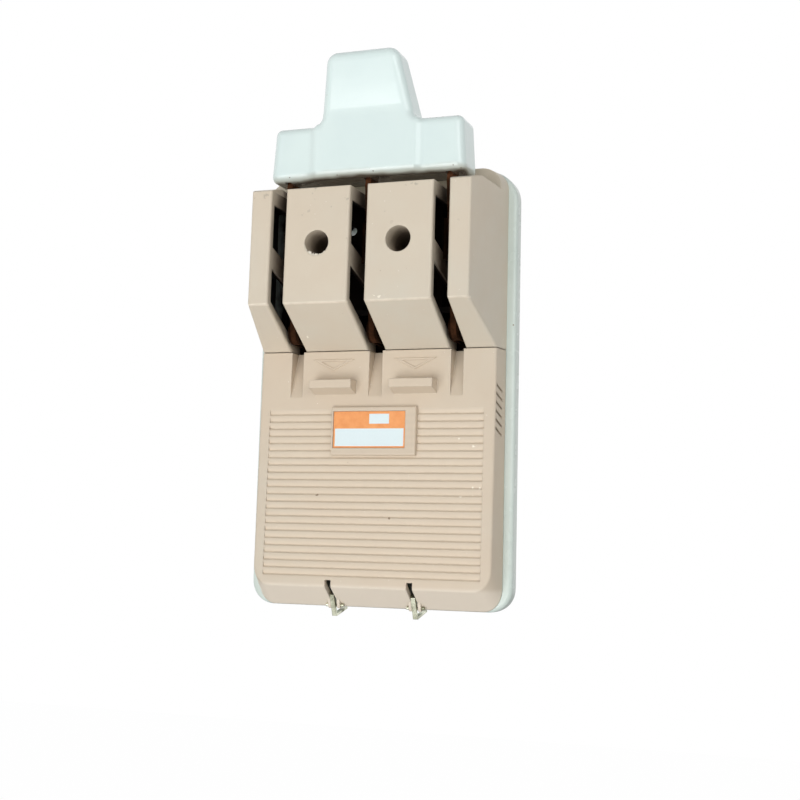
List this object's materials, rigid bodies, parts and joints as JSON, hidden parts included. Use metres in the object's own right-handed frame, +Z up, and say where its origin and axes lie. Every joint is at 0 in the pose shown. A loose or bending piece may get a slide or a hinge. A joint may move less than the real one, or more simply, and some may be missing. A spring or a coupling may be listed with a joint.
{
  "type": "knife switch",
  "caption": "Enclosed three-pole knife switch on a porcelain base, with slotted cover, hinged ribbed fuse lid and a glazed bar handle.",
  "frame": {"origin": "middle of the base's flat wall face", "axes": "+Y into the wall, +Z up, +X to the viewer's right"},
  "size_m": [0.15, 0.0652, 0.3021],
  "materials": {
    "porcelain": "glazed front, plain back",
    "glaze": "clear white glaze",
    "moulding": "satin moulding",
    "card": "printed card, bare",
    "copper": "bare copper, dull",
    "link": "tinned",
    "brass": "turned",
    "plated": "zinc plated"
  },
  "bodies": {
    "housing": {"porcelain_base": "porcelain", "upper_cover": "moulding", "line_jaw_left": "copper", "hinge_clip_left": "copper", "load_strip_left": "copper", "fuse_link_left": "link", "line_jaw_centre": "copper", "hinge_clip_centre": "copper", "load_strip_centre": "copper", "fuse_link_centre": "link", "line_jaw_right": "copper", "hinge_clip_right": "copper", "load_strip_right": "copper", "fuse_link_right": "link", "line_screws": "brass", "fuse_top_screws": "brass", "fuse_low_screws": "brass", "load_screws": "brass", "base_inserts": "brass", "strip_anchor_screws": "plated", "upper_cover_screws": "plated", "hook_and_catch_screws": "plated", "blade_pivot_pins": "plated", "hinge_hook_left": "plated", "hinge_hook_right": "plated", "cover_catch_left": "plated", "cover_catch_right": "plated"},
    "switch": {"handle": "glaze", "blade_left": "copper", "blade_centre": "copper", "blade_right": "copper", "handle_screws": "plated", "handle_inserts": "brass"},
    "lid": {"fuse_cover": "moulding", "rating_card": "card", "cover_hinge_pins": "plated"}
  },
  "joints": [
    {"name": "switch_hinge", "type": "hinge", "parent": "housing", "child": "switch", "pos_m": [0, -0.0316, 0.0298], "axis": [1, 0, 0], "range_deg": [0, 150]},
    {"name": "lid_hinge", "type": "hinge", "parent": "housing", "child": "lid", "pos_m": [0, -0.0208, -0.118], "axis": [1, 0, 0], "range_deg": [0, 110]}
  ]
}
